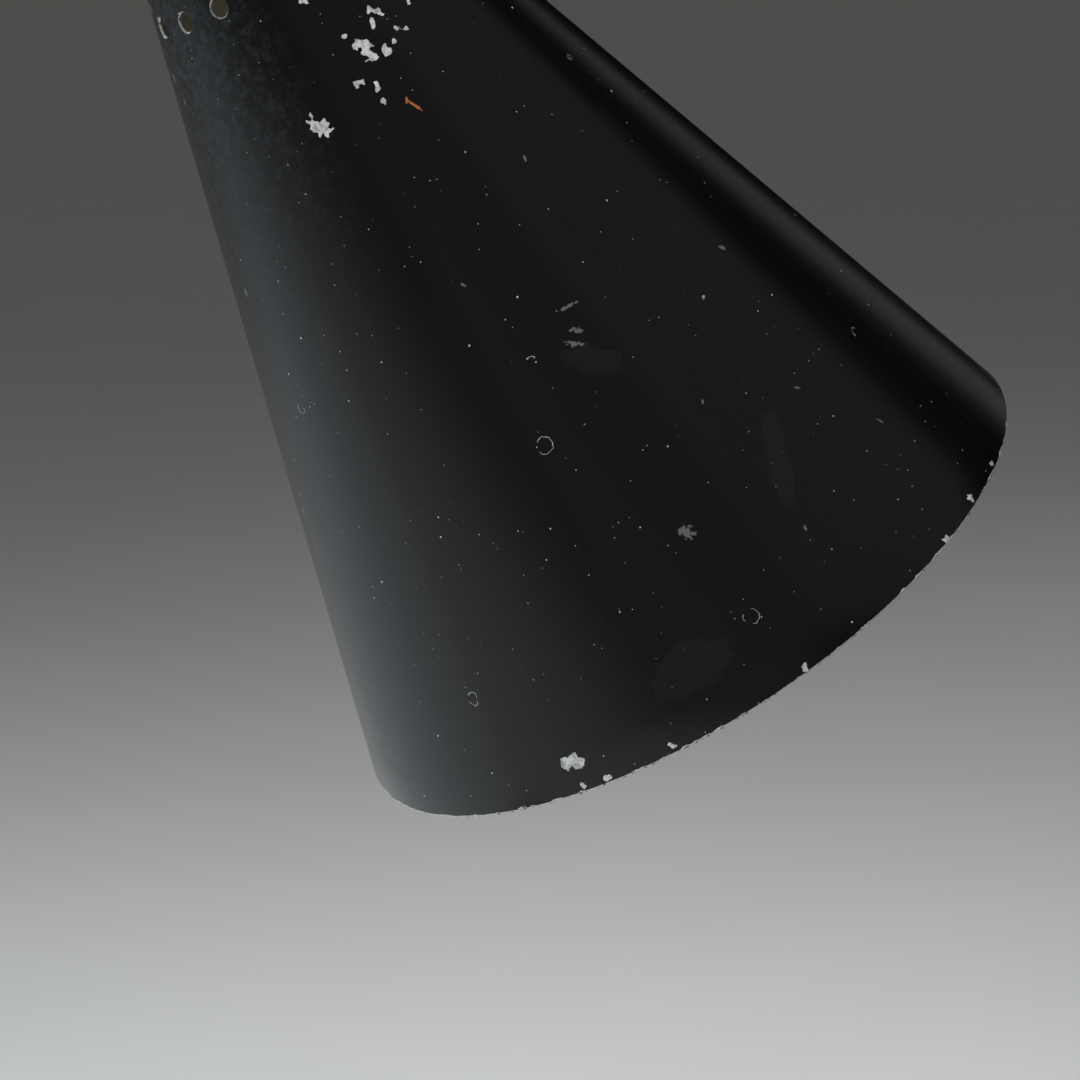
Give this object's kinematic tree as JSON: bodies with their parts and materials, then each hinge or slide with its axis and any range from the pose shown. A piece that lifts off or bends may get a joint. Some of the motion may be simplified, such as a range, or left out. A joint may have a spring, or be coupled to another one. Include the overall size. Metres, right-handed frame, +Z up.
{
  "type": "arc floor lamp",
  "caption": "Floor lamp with a weighted round base, an upright stem, a bowed tube arm on a swivelling clamp knuckle, and a long vented cone shade on a tilting knuckle.",
  "frame": {"origin": "centre of the underside of the base, on the floor", "axes": "+Z up along the stem; the bow leans towards +X, in the XZ plane; both knuckles turn about Y, and the clamp knob faces -Y"},
  "size_m": [1.3663, 0.309, 1.5699],
  "materials": {
    "black_lacquer": "satin black stoving lacquer over sheet steel, chipped and dusty",
    "bow_lacquer": "satin black lacquer over steel tube",
    "brass": "turned brass, aged and lightly tarnished",
    "steel": "zinc plated",
    "cast_iron": "raw sand-cast iron",
    "felt": "pressed wool felt",
    "rubber": "matte black",
    "bakelite": "black phenolic moulding",
    "fibre": "red vulcanised fibre",
    "porcelain": "glazed electrical porcelain",
    "lead": "dark flexible sheath",
    "opal_glass": "opal-coated glass",
    "nickel": "nickel-plated lamp cap"
  },
  "bodies": {
    "base": {"base_felt": "felt", "base_weight": "cast_iron", "base_cover": "black_lacquer", "base_collar": "brass", "base_washer": "steel", "base_nut": "steel", "cord_grommet": "rubber", "terminal_block": "porcelain", "terminal_screw_1": "brass", "terminal_screw_2": "brass", "switch_housing": "bakelite", "switch_bezel": "brass", "stem_tube": "brass", "stem_lead": "lead", "swivel_socket": "brass", "swivel_stop_screw": "steel"},
    "foot_button": {"switch_button": "bakelite", "switch_spring": "steel"},
    "swivel_head": {"swivel_washer": "fibre", "hinge_fork": "brass", "hinge_bolt": "steel", "hinge_fibre_front": "fibre", "hinge_fibre_back": "fibre", "clamp_washer": "steel"},
    "clamp_knob": {"clamp_knob": "bakelite"},
    "bow": {"hinge_tongue": "brass", "arm_tube": "bow_lacquer", "arm_lead": "lead", "shade_fork": "brass", "shade_fibre_front": "fibre", "shade_fibre_back": "fibre", "thumb_washer": "steel"},
    "thumb_screw": {"thumb_screw": "brass"},
    "shade": {"shade_tongue": "brass", "shade_collar": "brass", "shade_nipple": "brass", "shade_shell": "black_lacquer", "inner_washer": "steel", "lock_nut": "brass", "holder_cap": "bakelite", "holder_insert": "porcelain", "holder_skirt": "bakelite", "holder_ring": "bakelite", "holder_thread": "brass", "holder_contact": "brass", "holder_lead": "lead", "bulb_cap": "nickel", "bulb_glass": "opal_glass"}
  },
  "joints": [
    {"name": "switch_press", "type": "slide", "parent": "base", "child": "foot_button", "axis": [0, 0, -1], "range_m": [0, 0.004], "stiffness_N_per_m": 300, "springref_m": -0.004, "deforming": ["switch_spring"]},
    {"name": "arm_swivel", "type": "hinge", "parent": "base", "child": "swivel_head", "pos_m": [0, 0, 0.7969], "axis": [0, 0, 1], "range_deg": [-170, 170]},
    {"name": "clamp_knob_turn", "type": "hinge", "parent": "swivel_head", "child": "clamp_knob", "pos_m": [0, 0, 0.8406], "axis": [0, -1, 0], "range_deg": [0, 270]},
    {"name": "arm_tilt", "type": "hinge", "parent": "swivel_head", "child": "bow", "pos_m": [0, 0, 0.8406], "axis": [0, 1, 0], "range_deg": [-25, 15]},
    {"name": "thumb_screw_turn", "type": "hinge", "parent": "bow", "child": "thumb_screw", "pos_m": [0.87975, 0, 1.40405], "axis": [0, -1, 0], "range_deg": [0, 270]},
    {"name": "shade_tilt", "type": "hinge", "parent": "bow", "child": "shade", "pos_m": [0.87975, 0, 1.40405], "axis": [0, 1, 0], "range_deg": [-50, 60]}
  ]
}
